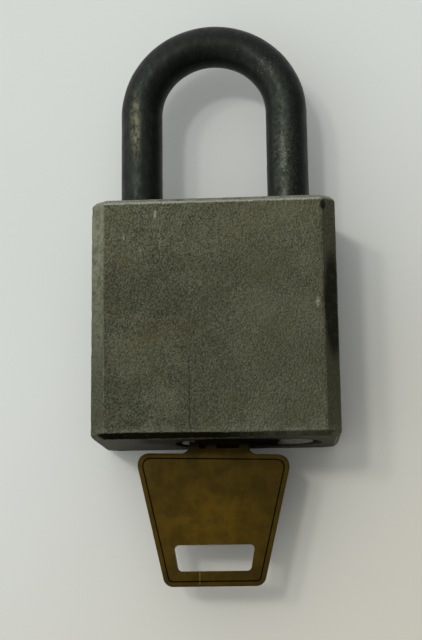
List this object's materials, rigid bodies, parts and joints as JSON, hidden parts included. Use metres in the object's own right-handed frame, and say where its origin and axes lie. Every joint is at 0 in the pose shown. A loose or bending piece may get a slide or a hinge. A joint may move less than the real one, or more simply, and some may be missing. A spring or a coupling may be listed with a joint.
{
  "type": "padlock",
  "caption": "Weathered solid-steel padlock with a round steel shackle, ball locking, a pear-shaped pin cylinder and its brass key left in.",
  "frame": {"origin": "centre of the body's flat back face, on which the padlock lies", "axes": "+Z out of the front face, +Y from the key end towards the shackle's bend, +X towards the leg that comes free"},
  "size_m": [0.0508, 0.1218, 0.024],
  "materials": {
    "body_steel": "fine-grained grey phosphate over steel, worn bright on the edges",
    "shackle_steel": "near-black hardened steel with a soft sheen, rubbed brown-grey on the bend",
    "bright_steel": "oiled plain steel",
    "cylinder_brass": "dull brass",
    "key_brass": "dark tarnished brass, mottled"
  },
  "bodies": {
    "case": {"body": "body_steel", "cylinder_shell": "cylinder_brass", "cylinder_screw": "bright_steel", "chamber_cover": "cylinder_brass", "shackle_retaining_pin": "bright_steel", "shackle_spring": "bright_steel", "driver_pin_1": "bright_steel", "driver_pin_2": "bright_steel", "driver_pin_3": "bright_steel", "driver_pin_4": "bright_steel", "driver_pin_5": "bright_steel", "pin_spring_1": "bright_steel", "pin_spring_2": "bright_steel", "pin_spring_3": "bright_steel", "pin_spring_4": "bright_steel", "pin_spring_5": "bright_steel"},
    "plug": {"plug": "cylinder_brass", "plug_clip": "bright_steel", "actuator": "bright_steel", "bottom_pin_1": "cylinder_brass", "bottom_pin_2": "cylinder_brass", "bottom_pin_3": "cylinder_brass", "bottom_pin_4": "cylinder_brass", "bottom_pin_5": "cylinder_brass"},
    "key": {"key": "key_brass"},
    "shackle": {"shackle": "shackle_steel"},
    "heel_ball": {"heel_ball": "bright_steel"},
    "toe_ball": {"toe_ball": "bright_steel"}
  },
  "joints": [
    {"name": "key_turn", "type": "hinge", "parent": "case", "child": "plug", "pos_m": [0, -0.0248, 0.012], "axis": [0, 1, 0], "range_deg": [0, 90]},
    {"name": "key_slide", "type": "slide", "parent": "plug", "child": "key", "axis": [0, -1, 0], "range_m": [0, 0.03]},
    {"name": "shackle_rise", "type": "slide", "parent": "case", "child": "shackle", "axis": [0, 1, 0], "range_m": [0, 0.017], "deforming": ["shackle_spring"]},
    {"name": "heel_ball_draw", "type": "slide", "parent": "case", "child": "heel_ball", "axis": [1, 0, 0], "range_m": [0, 0.0048]},
    {"name": "toe_ball_draw", "type": "slide", "parent": "case", "child": "toe_ball", "axis": [-1, 0, 0], "range_m": [0, 0.0048]}
  ],
  "couplings": [
    {"joint": "key_turn", "follows": "shackle_rise", "rad_per_m": 92.39},
    {"joint": "heel_ball_draw", "follows": "shackle_rise", "ratio": 0.28235},
    {"joint": "toe_ball_draw", "follows": "shackle_rise", "ratio": 0.28235}
  ]
}
